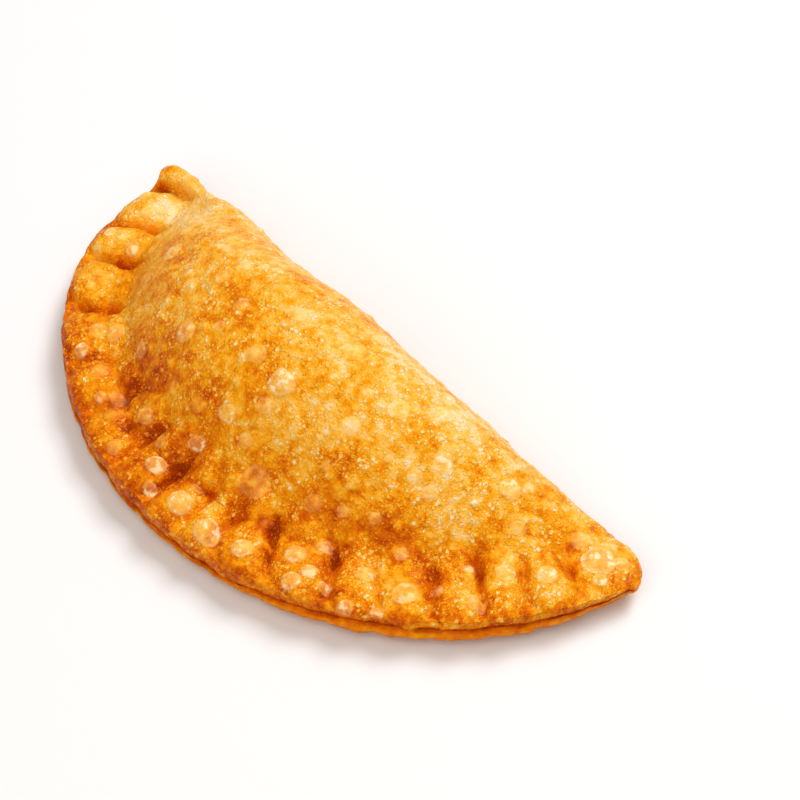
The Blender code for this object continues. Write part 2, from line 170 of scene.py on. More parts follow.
# Blisters: the ones that stand out, in millimetres, as x, y, width, milkiness, rise for their width
blisters = {
    "standOut": (
        (-20.9, -33.8, 4.4, 0.55, 0.10), (-40.9, -20.8, 4.2, 0.50, 0.10), (-54.4, -20.2, 3.8, 0.60, 0.16),
        (-61.1, -21.2, 2.6, 0.70, 0.12), (-24.0, -22.5, 3.2, 0.50, 0.10), (-22.8, -18.1, 3.6, 0.40, 0.08),
        (-4.8, -30.6, 4.2, 0.35, 0.13), (3.1, -31.4, 5.4, 0.75, 0.12), (-17.7, -46.3, 4.0, 0.45, 0.12),
        (-40.7, -44.5, 2.8, 0.70, 0.16), (-38.5, -37.2, 4.0, 0.50, 0.12), (-42.1, -39.4, 3.6, 0.40, 0.12),
        (-28.9, -49.5, 2.4, 0.50, 0.18), (-26.5, -47.2, 3.2, 0.35, 0.20), (-23.6, -50.5, 4.0, 0.12, 0.22),
        (-4.8, -45.5, 3.3, 0.60, 0.15), (1.0, -50.5, 2.8, 0.40, 0.14), (-8.3, -52.9, 4.2, 0.60, 0.12),
        (9.3, -44.0, 6.2, 0.28, 0.08), (-2.6, -40.0, 3.8, 0.60, 0.10), (3.1, -35.6, 3.4, 0.50, 0.10),
        (1.3, -55.4, 4.8, 0.80, 0.20), (9.6, -56.0, 5.2, 0.80, 0.18), (16.9, -54.0, 4.0, 0.80, 0.20),
        (-5.7, -56.7, 2.6, 0.60, 0.18), (-29.3, -38.6, 3.6, 0.50, 0.10), (-57.7, -2.4, 3.6, 0.30, 0.10),
        (33.3, -20.0, 4.2, 0.70, 0.08), (43.0, -12.6, 4.6, 0.60, 0.08), (41.1, -19.7, 1.6, 0.80, 0.20),
        (49.0, -7.4, 1.8, 0.80, 0.20), (58.2, -18.3, 4.0, 0.70, 0.12), (52.9, -23.5, 3.8, 0.60, 0.10),
        (61.7, -9.0, 6.4, 0.95, 0.08), (64.9, -6.1, 3.0, 0.70, 0.12), (64.8, -11.5, 2.8, 0.70, 0.12),
        (47.5, -27.5, 2.4, 0.60, 0.12), (53.7, -31.5, 3.6, 0.45, 0.14), (35.9, -41.6, 3.4, 0.60, 0.10),
        (44.1, -39.6, 4.8, 0.50, 0.10), (47.1, -34.6, 2.2, 0.40, 0.15), (38.5, -49.1, 3.0, 0.60, 0.08),
        (43.0, -45.4, 2.8, 0.50, 0.08), (28.1, -52.3, 3.6, 0.90, 0.15), (24.5, -48.0, 4.2, 0.50, 0.10),
        (28.9, -48.7, 3.2, 0.60, 0.12), (26.3, -42.7, 3.0, 0.50, 0.10), (32.8, -48.4, 2.8, 0.50, 0.12),
        (35.0, -24.9, 3.4, 0.45, 0.08), (17.9, -28.5, 4.0, 0.35, 0.08), (-4.8, -20.3, 4.0, 0.45, 0.07),
        (8.2, -18.2, 4.6, 0.30, 0.10), (21.9, -20.0, 4.6, 0.35, 0.05), (31.5, -25.5, 3.2, 0.55, 0.08),
        (26.4, -26.9, 1.8, 0.70, 0.15), (18.6, -35.1, 1.6, 0.70, 0.20), (61.3, -5.5, 3.2, 0.45, 0.08),
    ),
    "count": 34,                # more of them, scattered by a seeded draw
    "widths": (1.8, 4.0),
    "gap": 5.0,                 # least distance to any other
    "milkiness": (0.10, 0.55),
    "rise": 0.10,
    "roundness": 0.55,          # power of a dome's height
    "waver": ((0.14, 0.0020, 61),),     # how far outlines wander, over what distance, seed
    "milkSpan": (0.0, 0.22),    # where the milkiness starts inside the outline
    "seed": 11,
}

# Smaller relief: blisters in cubic cells as cell, seed, share of cells filled and widths, then the
# lumps of filling and finer unevenness as height, size and seed
fineRelief = {
    "medium": (0.0042, 21, 0.75, (0.0016, 0.0032)),
    "small": (0.0020, 22, 0.85, (0.0008, 0.0016)),
    "cellRise": 0.26,           # share of a full dome
    "cellRoundness": 0.6,
    "smallFill": 0.8,
    "lumps": ((0.0007, 0.017, 12),),
    "lumpSpan": (0.012, 0.020), # distance in from the rim over which the lumps appear
    "bumps": ((0.00028, 0.0060, 33), (0.00016, 0.0028, 34)),
    "grit": ((0.00008, 0.0011, 31),),
    "inset": 0.0002,            # how far the surface is sunk to leave room for it
    "upwardSpan": (-0.2, 0.5),  # slope over which relief fades out
}
lattice = {"corners": 32, "shift": 200.3}   # random values each way; the shift keeps places above zero

# Where the crust browned most, and where it stayed palest, in millimetres: x, y, radius, strength. The wide
# browned spots on the left flank are browning and also painted shade on the side turned from the key lamp,
# and some pale spots in the belly's middle are painted light that makes up for the weak front lamp
brownedAndShaded = (
    (-25.5, -43.8, 2.8, 0.5), (-24.5, -46.4, 1.5, 0.5), (-19.9, -49.9, 2.0, 1.0), (-14.4, -47.6, 2.4, 0.6),
    (-5.3, -49.9, 3.0, 0.9), (-3.1, -53.9, 2.2, 0.6), (2.7, -50.1, 1.7, 0.9), (-20.3, -41.6, 2.8, 0.4),
    (-26.0, -40.0, 3.0, 0.2), (11.1, -49.0, 2.6, 0.7), (15.0, -47.3, 2.2, 0.5), (17.2, -46.6, 2.4, 0.8),
    (20.3, -51.3, 2.6, 0.8), (21.2, -41.3, 3.0, 0.5), (29.7, -42.4, 2.8, 0.9), (35.1, -47.7, 2.0, 0.6),
    (20.7, -30.5, 2.4, 0.9), (27.7, -21.1, 3.0, 0.5), (31.3, -33.4, 3.0, 0.5), (34.8, -32.2, 3.4, 0.5),
    (38.1, -31.7, 3.4, 0.5), (43.8, -33.3, 2.2, 0.6), (49.6, -37.1, 1.6, 0.5), (48.6, -25.2, 2.4, 0.9),
    (55.0, -29.4, 1.8, 0.7), (54.1, -21.0, 2.0, 0.5), (59.0, -14.3, 2.2, 0.5), (55.7, -8.9, 2.8, 0.8),
    (45.7, -23.0, 3.0, 0.4), (-40.6, -26.9, 3.6, 0.3), (-54.1, -24.7, 2.0, 0.6), (-45.5, -33.7, 2.2, 0.3),
    (-37.4, -43.8, 2.4, 0.6), (-64.8, -4.9, 2.0, 0.9), (-57.7, -13.2, 2.0, 0.5), (-18.6, -56.3, 2.6, 0.4),
    (2.2, -59.5, 2.2, 0.4), (-22.0, -46.0, 7.0, 0.2), (27.0, -38.0, 6.0, 0.1),
    (60.0, -14.0, 8.0, 0.60), (42.0, -38.0, 7.0, 0.25), (-48.0, -43.0, 12.0, 0.32),
    (-8.0, -50.0, 7.0, 0.45), (-64.0, -22.0, 9.0, 0.25),
)
paleAndLit = (
    (33.0, -13.0, 13.0, 0.45), (18.0, -11.0, 12.0, 0.50), (0.0, -12.0, 12.0, 0.40), (-50.0, -4.0, 8.0, 0.60),
    (-27.0, -8.0, 10.0, 0.40), (-57.0, -8.0, 4.0, 0.60), (-48.0, -12.0, 5.0, 0.50), (-51.5, -29.0, 2.4, 0.60),
    (-40.5, -38.5, 3.0, 0.50), (-59.7, -11.4, 2.6, 0.70), (35.9, -41.6, 3.0, 0.50), (44.5, -40.0, 3.4, 0.70),
    (58.2, -18.3, 3.0, 0.50), (52.9, -24.0, 3.0, 0.40), (9.6, -56.0, 3.2, 0.50), (1.3, -55.4, 3.0, 0.40),
    (-20.0, -30.0, 7.0, 0.30), (10.0, -30.0, 8.0, 0.30), (17.0, -54.0, 3.0, 0.50), (21.0, -27.0, 9.0, 0.45),
    (-37.0, -36.0, 5.2, 0.65), (13.0, -36.0, 7.0, 0.40), (2.0, -37.0, 7.0, 0.35), (26.0, -49.5, 4.0, 0.40),
    (61.5, -9.5, 4.0, 0.40), (34.0, -32.0, 9.0, 0.25),
)
# Where the crust is smoothest, in the same measures
calm = (
    (-52.0, -8.0, 8.0, 0.8), (-60.0, -3.0, 5.0, 0.6), (-50.0, -17.0, 6.0, 0.6), (-45.0, -26.0, 6.0, 0.6),
)

# Tone runs from 0 for the brownest crust to 1 for the palest. These are its parts, some of which paint light
# and shade into it.
toneParts = {
    "base": 0.44,
    # paler towards the fold: partly the crust's own colour, partly painted light on the fold side that faces
    # the key lamp
    "nearFoldPaleAndLit": 0.20,           # paler towards the fold
    "nearFoldSpan": (0.048, 0.012),
    "paleAndLit": 0.28,
    "brownedAndShaded": 0.30,
    # grooves and hollows are painted darker: browning, and painted shade in the crimps' recesses
    "groove": 0.09,
    "hollow": 38,               # for each metre of its depth
    # pillow tops are painted paler by their height, partly as a painted highlight on the raised crimps
    "pillow": 72,               # for each metre of its height above a least one
    "pillowLeast": 0.0004,
    "pillowSpan": (0.014, 0.008),
    "rim": 0.12,                # browner right at the rim
    "rimSpan": (0.0035, 0.0005),
}


def smoothStep(low, high, value):
    # rises smoothly from 0 at low to 1 at high
    share = np.clip((value - low) / (high - low), 0.0, 1.0)
    return share * share * (3 - 2 * share)


def bell(distance, width):
    # 1 at no distance, falling smoothly to 0 well past the width
    return np.exp(-((distance / width) ** 2))


def rimTable():
    # angle round the half ellipse, and the length along it
    angle = np.linspace(0, np.pi, 2001)
    steps = np.hypot(np.diff(form["halfLength"] * np.cos(angle)), np.diff(form["reach"] * np.sin(angle)))
    return angle, np.concatenate([[0.0], np.cumsum(steps)])


rimAngles, rimLengths = rimTable()


def rimRadius(angle):
    # distance of the rim from the fold's middle
    return np.hypot(form["halfLength"] * np.cos(angle), form["reach"] * np.sin(angle))


def rimPlace(x, y):
    # angle round the rim, length along it, and distance in from it along the ray to the fold's middle
    across = x / form["halfLength"]
    out = np.maximum(-y, 0.0) / form["reach"]
    angle = np.arctan2(out, across + 1e-9)
    inward = (1 - np.hypot(across, out)) * rimRadius(angle)
    return angle, np.interp(angle, rimAngles, rimLengths), inward


def bandWidth(angle):
    # width of the pinched band, from its value at the front to that at the tips
    return form["bandAtFront"] + (form["bandAtTips"] - form["bandAtFront"]) * np.cos(angle) ** 2


def sectionEnds(x):
    # y of the fold and of the rim at x, with rounded tips
    radius = np.where(x > 0, form["rightTipRadius"], form["leftTipRadius"])
    past = np.clip((np.abs(x) - form["halfLength"] + radius) / radius, 0.0, 1.0)
    narrow = np.sqrt(1 - past**2)
    swell = form["leftSwell"] * smoothStep(*form["leftSwellSpan"], x)
    swell = swell + form["rightSwell"] * bell(x - form["rightSwellPlace"], form["rightSwellWidth"])
    foldY = form["foldOffset"] + form["foldSlant"] * x + swell - form["tipPull"] * radius * (1 - narrow)
    rimY = -form["reach"] * np.sqrt(1 - np.minimum(np.abs(x) / form["halfLength"], 1.0) ** 2)
    return foldY, np.minimum(rimY, foldY - form["tipFullness"] * radius * narrow)


def bellyHeight(x, y, fromFold):
    # a dome over the half ellipse inside the pinched band, with a soft foot, that rises from the fold
    angle = rimPlace(x, y)[0]
    crease = 1 - bandWidth(angle) / rimRadius(angle)
    across = x / form["halfLength"]
    shifted = across + form["bellyShift"] / form["halfLength"] * (1 - across**2)
    inside = np.clip(1 - (shifted**2 + (y / form["reach"]) ** 2) / crease**2, 0.0, 1.0)
    foot = 1 - np.exp(-inside / form["bellyFoot"])
    rise = 1 - np.exp(-np.maximum(fromFold, 0.0) / form["foldSoftness"])
    return form["bellyHeight"] * inside ** form["bellyPower"] * foot * rise


def layerShare(thin):
    # thickness of a layer where a section is so full, as a share of the sheet's
    return form["thinnestSheet"] + (1 - form["thinnestSheet"]) * thin


def sheetAndNose(x, y):
    # thickness of a layer and the rounding of the fold, both less at the tips, and the distance from it
    foldY, rimY = sectionEnds(x)
    thin = np.minimum(1.0, (foldY - rimY) / form["fullWidth"])
    share = np.clip((foldY - y) / (form["noseLength"] * thin + 1e-9), 0.0, 1.0)
    return form["sheet"] * layerShare(thin), np.sqrt(1 - (1 - share) ** 2), foldY - y


def topHeight(x, y):
    # the upper layer over the belly, with a swelling along the fold beside the left tip
    layer, nose, fromFold = sheetAndNose(x, y)
    roll = form["rollHeight"] * smoothStep(*form["rollSpan"], x)
    roll = roll * bell(fromFold - form["rollPlace"], form["rollWidth"])
    return form["seamHeight"] + (layer + roll) * nose + bellyHeight(x, y, fromFold)


def underHeight(x, y):
    # flat on the table under the belly, lifted towards the rim
    layer, nose = sheetAndNose(x, y)[:2]
    lift = 1 - smoothStep(*form["liftSpan"], rimPlace(x, y)[2])
    seam = form["seamHeight"]
    return seam - (seam - (seam - layer) * lift) * nose


def plainForm():
    # rings from the right tip to the left one, each a loop over the top, the rim and the underside
    top, edge, under = form["topPoints"], form["edgePoints"], form["underPoints"]
    theta = np.linspace(0, np.pi, form["rings"] + 1)[1:-1, None]
    index = np.arange(top + edge + under)[None, :]
    x = form["halfLength"] * np.cos(theta) + 0.0 * index
    foldY, rimY = sectionEnds(x)
    thin = np.minimum(1.0, (foldY - rimY) / form["fullWidth"])
    upper = index <= top + edge // 2
    comingBack = np.clip((top + edge + under - index) / under, 0, 1)
    step = np.where(upper, np.clip(index / top, 0, 1), comingBack)
    step = step - form["crowding"] / (2 * np.pi) * np.sin(2 * np.pi * step)
    # the upper layer's edge is ragged, so its inset from the lower one changes along the rim
    leftShare = smoothStep(*form["lipChange"], rimPlace(x, rimY)[1])
    lip = form["lowerLip"][1] + (form["lowerLip"][0] - form["lowerLip"][1]) * leftShare
    drop = form["seamDrop"][1] + (form["seamDrop"][0] - form["seamDrop"][1]) * leftShare
    onRim = np.stack([x, rimY, 0 * x], axis=-1)
    ragged = noiseSum(onRim, form["ragged"])
    y = foldY - (foldY - rimY - np.where(upper, lip + ragged, form["lipUnderneath"] * lip) * thin) * step
    z = np.where(upper, topHeight(x, y), underHeight(x, y))
    # the edge rounds the upper layer, dips into the seam and rounds the lower layer
    turn = np.clip((index - top) / edge, 0.0, 1.0)
    upperOut = np.interp(turn, rimEdge["turns"], rimEdge["upperOut"]) - ragged * (turn < rimEdge["raggedEnd"])
    lowerOut = lip * np.interp(turn, rimEdge["turns"], rimEdge["lowerOut"])
    upwards = np.interp(turn, rimEdge["turns"], rimEdge["upwards"])
    lowered = drop * np.interp(turn, rimEdge["dropTurns"], rimEdge["dropShares"]) * thin
    onEdge = (index > top) & (index < top + edge)
    y = np.where(onEdge, rimY + (lip - upperOut - lowerOut) * thin, y)
    z = np.where(onEdge, form["seamHeight"] + upwards * form["sheet"] * layerShare(thin) - lowered, z)
    # the side's share, the seam's share, and 1 on the underside
    fade = 1 - smoothStep(0.0, rimEdge["sideFade"], (index - top - edge) / under)
    side = smoothStep(*rimEdge["sideSpan"], turn) * (index > top) * fade
    crack = bell(turn - rimEdge["crackPlace"], rimEdge["crackWidth"]) * (index > top) * (turn < 1)
    everywhere = np.zeros(x.shape)
    underneath = (index >= top + edge) + everywhere
    return np.stack([x, y, z], axis=-1), side + everywhere, crack + everywhere, underneath


def gridNormals(points):
    # cross product of the steps along and round the grid, which is a loop in its second direction
    along = np.gradient(points, axis=0)
    around = np.roll(points, -1, axis=1) - np.roll(points, 1, axis=1)
    normals = np.cross(along, around)
    normals /= np.linalg.norm(normals, axis=-1, keepdims=True) + 1e-20
    return normals if normals[:, form["topPoints"] // 2, 2].mean() > 0 else -normals


def latticeNoise(points, size, seed):
    # random values from -1 to 1 on a cubic lattice, blended smoothly between its corners
    corners = lattice["corners"]
    table = np.random.default_rng(seed).uniform(-1, 1, (corners, corners, corners))
    scaled = points / size + lattice["shift"]
    corner = np.floor(scaled).astype(int)
    blend = smoothStep(0.0, 1.0, scaled - corner)
    total = np.zeros(points.shape[:-1])
    for step in np.ndindex(2, 2, 2):
        weight = np.prod(np.where(step, blend, 1 - blend), axis=-1)
        place = (corner + step) % corners
        total += weight * table[place[..., 0], place[..., 1], place[..., 2]]
    return total


def noiseSum(points, layers):
    # sum of noises, each a height, a size and a seed
    total = np.zeros(points.shape[:-1])
    for height, size, seed in layers:
        total += height * latticeNoise(points, size, seed)
    return total


def cellDomes(points, size, seed, share, widths):
    # one possible blister in each cubic cell: the highest dome over the point, and its fill from 0 to 1
    rng = np.random.default_rng(seed)
    corners = lattice["corners"]
    cube = (corners, corners, corners)
    centres = rng.uniform(0.0, 1.0, (*cube, 3))
    radii = rng.uniform(widths[0], widths[1], cube) / 2
    radii = np.where(rng.uniform(0, 1, cube) < share, radii, 1e-7)
    cell = np.floor(points / size + lattice["shift"]).astype(int)
    local = points / size + lattice["shift"] - cell
    dome = np.zeros(points.shape[:-1])
    fill = np.zeros(points.shape[:-1])
    for step in np.ndindex(3, 3, 3):
        offset = np.array(step) - 1
        place = (cell + offset) % corners
        key = (place[..., 0], place[..., 1], place[..., 2])
        away = np.linalg.norm((centres[key] + offset - local) * size, axis=-1)
        inside = np.clip(1 - (away / radii[key]) ** 2, 0.0, 1.0)
        dome = np.maximum(dome, radii[key] * inside ** fineRelief["cellRoundness"])
        fill = np.maximum(fill, inside)
    return dome, fill


def crimpRelief(length, inward):
    # pillows round in both directions between the grooves, and the grooves pressed in
    grooves = np.array(crimps["grooves"])
    places = np.concatenate([[-crimps["endSpace"] / 2], grooves, [rimLengths[-1] + crimps["endSpace"]]])
    leanAt, lean = np.array(crimps["lean"]).T
    leaned = length + np.interp(length, leanAt, lean) * (inward - crimps["leanPivot"])
    phase = np.interp(leaned, places, np.arange(len(places)))
    pillow = np.clip(np.floor(phase).astype(int), 0, len(crimps["fullness"]) - 1)
    leftShare = smoothStep(*crimps["leftSpan"], length)
    centre = crimps["centre"] - crimps["leftCentreChange"] * leftShare
    reach = crimps["reach"] - crimps["leftReachChange"] * leftShare
    across = np.abs(2 * (phase - pillow) - 1)
    along = np.abs(inward - centre) / reach
    acrossPower, alongPower, heightPower = crimps["powers"]
    swell = np.clip(1 - across**acrossPower - along**alongPower, 0.0, 1.0) ** heightPower
    swell *= crimps["height"] * np.take(crimps["fullness"], pillow)
    nearest = np.clip(np.round(phase).astype(int), 1, len(grooves))
    away = leaned - places[nearest]
    span = smoothStep(*crimps["grooveStart"], inward) * (1 - smoothStep(*crimps["grooveEnd"], inward))
    wide, narrow = crimps["grooveShares"]
    line = wide * bell(away, crimps["grooveWidth"]) + narrow * bell(away, 0.5 * crimps["grooveWidth"])
    line *= span
    depth = np.take(crimps["depth"], nearest - 1)
    return swell - depth * line, line * depth / crimps["deepest"]


def standOutBlisters():
    # the named ones, then a seeded scatter clear of them and of the edges, all in metres
    rng = np.random.default_rng(blisters["seed"])
    places = list(blisters["standOut"])
    while len(places) < len(blisters["standOut"]) + blisters["count"]:
        x = 1000 * rng.uniform(-form["halfLength"], form["halfLength"])
        y = 1000 * rng.uniform(-form["reach"], 0.0)
        width = rng.uniform(*blisters["widths"])
        fromFold = sectionEnds(np.array(x / 1000))[0] - y / 1000
        clear = min(rimPlace(x / 1000, y / 1000)[2], fromFold) > width / 1000
        if clear and all(np.hypot(x - other[0], y - other[1]) > blisters["gap"] for other in places):
            places.append((x, y, width, rng.uniform(*blisters["milkiness"]), blisters["rise"]))
    return np.array(places) * [0.001, 0.001, 0.001, 1, 1]


def blisterRelief(points):
    # domes with wavering outlines round each place on the upper face
    waver = 1 + noiseSum(points, blisters["waver"])
    relief = np.zeros(points.shape[:-1])
    fill = np.zeros(points.shape[:-1])
    milk = np.zeros(points.shape[:-1])
    for x, y, width, milkiness, rise in standOutBlisters():
        centre = np.array([x, y, topHeight(np.array(x), np.array(y))])
        away = np.linalg.norm(points - centre, axis=-1) / (width / 2) * waver
        inside = np.clip(1 - away**2, 0.0, 1.0)
        relief = np.maximum(relief, rise * width * inside ** blisters["roundness"])
        fill = np.maximum(fill, inside)
        milk = np.maximum(milk, milkiness * smoothStep(*blisters["milkSpan"], inside))
    return relief, fill, milk


def spots(points, places):
    # sum of bells round places in plan
    total = np.zeros(points.shape[:-1])
    for x, y, radius, strength in places:
        away = np.hypot(points[..., 0] - x / 1000, points[..., 1] - y / 1000)
        total += strength * bell(away, radius / 1000)
    return total


def hollowDepth(points):
    # depth of the hollows, each a bell round its place in plan
    total = np.zeros(points.shape[:-1])
    for x, y, width, depth in np.array(hollows) / 1000:
        away = np.hypot(points[..., 0] - x, points[..., 1] - y)
        total += depth * bell(away, width / 2 * hollowSpread)
    return total


def rimNotches(length, inward):
    # how far the rim's edge is pulled in, by the grooves, by the last notch and near both tips
    fromLast = length - crimps["lastNotchPlace"]
    notch = crimps["lastNotch"] * bell(fromLast, np.where(fromLast < 0, *crimps["lastNotchWidths"]))
    for place in crimps["grooves"][:-1]:
        notch += crimps["notch"] * bell(length - place, crimps["notchWidth"])
    notch *= np.clip(1 - inward / crimps["notchReach"], 0.0, 1.0) ** 2
    pull = sum(depth * bell(length - place, width) for depth, place, width in crimps["pulls"])
    return notch + pull * np.clip(1 - inward / crimps["pullReach"], 0.0, 1.0)


def crustTone(fromFold, inward, crimped, line, hollow, palenessAndLight, brownnessAndShade):
    # paler near the fold, on the pillows and in pale places, in part as painted light; browner in grooves,
    # hollows and at the rim, in grooves and hollows in part as painted shade
    parts = toneParts
    tone = parts["base"] + parts["nearFoldPaleAndLit"] * smoothStep(*parts["nearFoldSpan"], fromFold)
    tone += parts["paleAndLit"] * palenessAndLight
    tone -= parts["brownedAndShaded"] * brownnessAndShade + parts["groove"] * line + parts["hollow"] * hollow
    # the pillows' tops are painted paler, partly as a highlight
    puffedAndLit = np.maximum(crimped - parts["pillowLeast"], 0.0)
    tone += parts["pillow"] * puffedAndLit * smoothStep(*parts["pillowSpan"], inward)
    return tone - parts["rim"] * smoothStep(*parts["rimSpan"], inward)


def crustSurface():
    # the plain form, raised along its normals by crimps, lumps and blisters and notched at the rim
    points, side, crack, underneath = plainForm()
    normals = gridNormals(points)
    facesUp = smoothStep(*fineRelief["upwardSpan"], normals[..., 2]) * (1 - underneath)
    length, inward = rimPlace(points[..., 0], points[..., 1])[1:]
    wander = crimps["wander"] * latticeNoise(points * [1, 1, 0], crimps["wanderSize"], blisters["seed"])
    fromFold = sectionEnds(points[..., 0])[0] - points[..., 1]
    crimped, line = crimpRelief(length + wander, inward)
    crimped *= 1 - crimps["foldCalm"] * bell(fromFold, crimps["foldCalmWidth"])
    hollow = hollowDepth(points)
    lumps = noiseSum(points, fineRelief["lumps"]) * smoothStep(*fineRelief["lumpSpan"], inward)
    lumps += noiseSum(points, fineRelief["bumps"])
    large, fill, milk = blisterRelief(points)
    medium, mediumFill = cellDomes(points, *fineRelief["medium"])
    small, smallFill = cellDomes(points, *fineRelief["small"])
    relief = (crimped + lumps - hollow + large) * facesUp
    relief += fineRelief["cellRise"] * (medium + small) + noiseSum(points, fineRelief["grit"])
    relief -= fineRelief["inset"]
    raised = points + normals * relief[..., None]
    heading = points[..., :2] / (np.linalg.norm(points[..., :2], axis=-1, keepdims=True) + 1e-9)
    raised[..., :2] -= heading * rimNotches(length, inward)[..., None]
    raised[..., 2] = np.maximum(raised[..., 2], 0.0)
    # pale spots add painted light as well as paleness, browned spots add painted shade as well as browning
    palenessAndLight, brownnessAndShade = spots(points, paleAndLit) * facesUp, spots(points, brownedAndShaded)
    tones = {
        "blister": fill * facesUp,
        "milk": milk * facesUp,
        "bubble": np.maximum(mediumFill, fineRelief["smallFill"] * smallFill) * (1 - underneath),
        "tone": crustTone(fromFold, inward, crimped, line, hollow, palenessAndLight, brownnessAndShade),
        "side": side,
        "crack": crack,
        "calm": np.minimum(spots(points, calm), 1.0),
    }
    return raised, tones


def buildCrust():
    # the grid closed by a point at either tip, fitted into the solid's box and centred on it
    grid, tones = crustSurface()
    rings, around = grid.shape[:2]
    points = np.concatenate([grid.reshape(-1, 3), [grid[0].mean(axis=0), grid[-1].mean(axis=0)]])
    middle = (points.min(axis=0) + points.max(axis=0)) / 2
    middle[2] = 0.0
    points -= middle
    room = np.array(solidBox[1]) - np.array(solidBox[0])
    fit = np.minimum(1.0, form["boxShare"] * room / (points.max(axis=0) - points.min(axis=0)))
    points *= fit
    ring, step = np.meshgrid(np.arange(rings - 1), np.arange(around), indexing="ij")
    after = (step + 1) % around
    here, beyond = ring * around, (ring + 1) * around
    corners = [here + step, here + after, beyond + after, beyond + step]
    quads = np.stack(corners, axis=-1).reshape(-1, 4)
    first = np.arange(around)
    following = (first + 1) % around
    last = (rings - 1) * around
    rightTip, leftTip = rings * around, rings * around + 1
    capRight = np.stack([np.full(around, rightTip), following, first], axis=-1)
    capLeft = np.stack([np.full(around, leftTip), last + first, last + following], axis=-1)
    mesh = bpy.data.meshes.new("crust")
    mesh.from_pydata(points.tolist(), [], quads.tolist() + capRight.tolist() + capLeft.tolist())
    for name, values in tones.items():
        layer = mesh.attributes.new(name, "FLOAT", "POINT")
        flat = np.concatenate([values.ravel(), [values[0].mean(), values[-1].mean()]])
        layer.data.foreach_set("value", flat.astype(np.float32))
    mesh.shade_smooth()
    shell = bmesh.new()
    shell.from_mesh(mesh)
    bmesh.ops.recalc_face_normals(shell, faces=shell.faces)
    shell.to_mesh(mesh)
    shell.free()
    piece = bpy.data.objects.new("crust", mesh)
    bpy.context.collection.objects.link(piece)
    print("crust:", len(mesh.vertices), "points, fit", fit)
    return piece, middle


crustPiece, formMiddle = buildCrust()
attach(crustPiece, "root")
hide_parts("empanada")

# Crust finish: colours as linear values, pattern sizes in millimetres
crustFinish = {
    "ramp": (
        (0.00, (0.340, 0.036, 0.0004)), (0.20, (0.600, 0.094, 0.0006)), (0.40, (0.790, 0.214, 0.0014)),
        (0.58, (0.930, 0.374, 0.0050)), (0.78, (0.990, 0.535, 0.0750)), (1.00, (1.000, 0.735, 0.4000)),
    ),
    "blotches": (8.0, 0.80),    # sizes of the mottling and what each adds to the tone
    "mottle": (2.0, 0.85),
    "grit": (0.45, 0.35),
    "clusters": 5.0,            # size of the patches where the bubbles crowd
    "grainSize": 0.95,          # cells of the larger and of the fine bubbles
    "fineSize": 0.50,
    "wanderScale": 1.6,         # how fast and how far the bubbles' outlines wander
    "warp": 0.55,
    # bubble tops are painted paler, partly as small painted highlights
    "raised": 0.32,             # what bubbles, the gaps between them and raised blisters add to the tone
    "gaps": -0.14,
    "bubbles": 0.20,
    "calmed": 0.35,             # share of all these that is left where the crust is smoothest
    "ring": 0.045,              # how much browner the line round a blister is
    "side": 0.05,               # tone of the side, what its streaks add and what its seam takes off
    "streaks": 0.70,
    "seam": 0.40,
    # the same patches also place the painted highlights on the milkiest blisters
    "patches": 1.5,             # size of the milky patches in a blister
    "blister": (0.930, 0.590, 0.215),
    # colour of the painted highlights on blisters and bubble tops
    "paintedGlint": (1.000, 0.840, 0.520),
    # painted glints on top of the bubbles
    "paintedGlintCaps": 0.10,               # share of the glint's colour on top of a bubble
    "relief": 0.00026,          # height of the bubbles in metres
    "reliefStrength": 0.8,
    "roughness": (0.50, 0.28),  # from dull to shiny grit
    "blisterShine": 0.14,       # how much less rough a blister is
    "sockets": {
        "Specular IOR Level": 0.14,
        "Specular Tint": (1.0, 0.64, 0.12, 1.0),
        "Subsurface Weight": 0.15,
        "Subsurface Radius": (1.0, 0.40, 0.12),
        "Subsurface Scale": 0.0010,
        "Coat Weight": 0.02,
        "Coat Roughness": 0.12,
    },
}


class Nodes:
    # short calls for laying out one material's nodes
    def __init__(self, name):
        self.material = bpy.data.materials.new(name)
        self.material.use_nodes = True
        self.tree = self.material.node_tree
        self.shader = self.tree.nodes["Principled BSDF"]

    def add(self, kind, sockets=None, **settings):
        node = self.tree.nodes.new(kind)
        for name, value in settings.items():
            setattr(node, name, value)
        for name, value in (sockets or {}).items():
            if isinstance(value, bpy.types.NodeSocket):
                self.tree.links.new(value, node.inputs[name])
            else:
                node.inputs[name].default_value = value
        return node

    def attribute(self, name):
        return self.add("ShaderNodeAttribute", attribute_name=name).outputs["Fac"]

    def maths(self, operation, first, second=0.0, clamp=False):
        node = self.add("ShaderNodeMath", {0: first, 1: second}, operation=operation, use_clamp=clamp)
        return node.outputs[0]

    def remap(self, value, low, high, start=0.0, end=1.0, smooth=True):
        kind = "SMOOTHSTEP" if smooth else "LINEAR"
        sockets = {"Value": value, "From Min": low, "From Max": high, "To Min": start, "To Max": end}
        return self.add("ShaderNodeMapRange", sockets, interpolation_type=kind).outputs[0]

    def vectors(self, operation, sockets):
        return self.add("ShaderNodeVectorMath", sockets, operation=operation).outputs[0]

    def blend(self, share, first, second):
        mix = self.add("ShaderNodeMix", data_type="RGBA")
        for place, value in ((0, share), (6, first), (7, second)):
            if isinstance(value, bpy.types.NodeSocket):
                self.tree.links.new(value, mix.inputs[place])
            else:
                mix.inputs[place].default_value = value if place == 0 else (*value, 1.0)
        return mix.outputs[2]

    def noise(self, where, size, detail=2.0, roughness=0.5):
        sockets = {"Vector": where, "Scale": 1.0 / size, "Detail": detail, "Roughness": roughness}
        return self.add("ShaderNodeTexNoise", sockets).outputs["Fac"]

    def cells(self, where, size):
        node = self.add("ShaderNodeTexVoronoi", {"Vector": where, "Scale": 1.0 / size})
        return node.outputs["Distance"], node.outputs["Color"]


